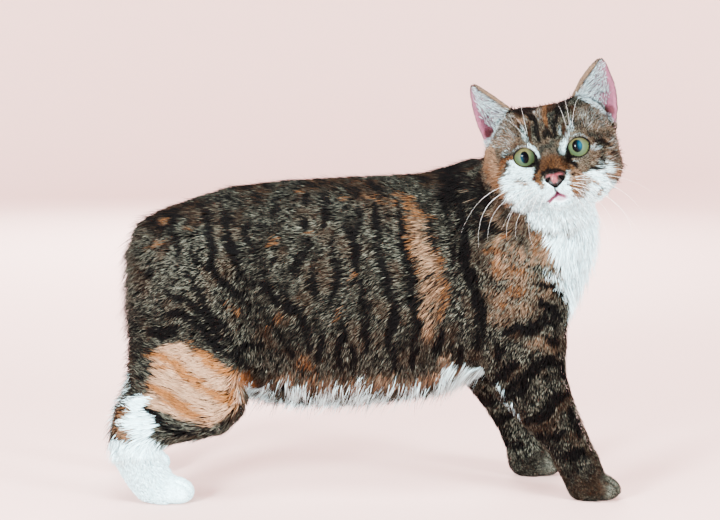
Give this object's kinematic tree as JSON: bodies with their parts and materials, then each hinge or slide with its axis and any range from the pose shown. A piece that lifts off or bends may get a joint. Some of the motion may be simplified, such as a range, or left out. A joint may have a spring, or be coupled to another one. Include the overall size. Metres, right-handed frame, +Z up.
{
  "type": "manx cat",
  "caption": "Still life-size model of a standing tailless manx cat with a short dense brown tabby coat with orange and white patches, its head turned to its right side.",
  "frame": {"origin": "on the floor under the middle of the model's box", "axes": "+X along the body towards the breast, +Y towards the cat's left side, +Z up; the head is turned towards -Y"},
  "size_m": [0.3934, 0.1762, 0.3315],
  "materials": {
    "coat_tabby": "short dense ticked fur, matt with a faint sheen along the hair",
    "coat_orange": "short fur, cream with orange bands, matt",
    "coat_white": "short white fur, matt",
    "ear": "thin skin with fine short hair outside and pale hair inside",
    "eye": "wet gloss over a green iris",
    "nose_leather": "fine-grained moist skin"
  },
  "bodies": {
    "root": {"head": "coat_tabby", "neck": "coat_tabby", "trunk": "coat_tabby", "ear_left": "ear", "ear_right": "ear", "eye_left": "eye", "eye_right": "eye", "nose": "nose_leather", "foreleg_left": "coat_tabby", "foreleg_right": "coat_tabby", "forefoot_left": "coat_tabby", "forefoot_right": "coat_tabby", "hindleg_left": "coat_orange", "hindleg_right": "coat_orange", "hindfoot_left": "coat_white", "hindfoot_right": "coat_white"}
  },
  "joints": []
}
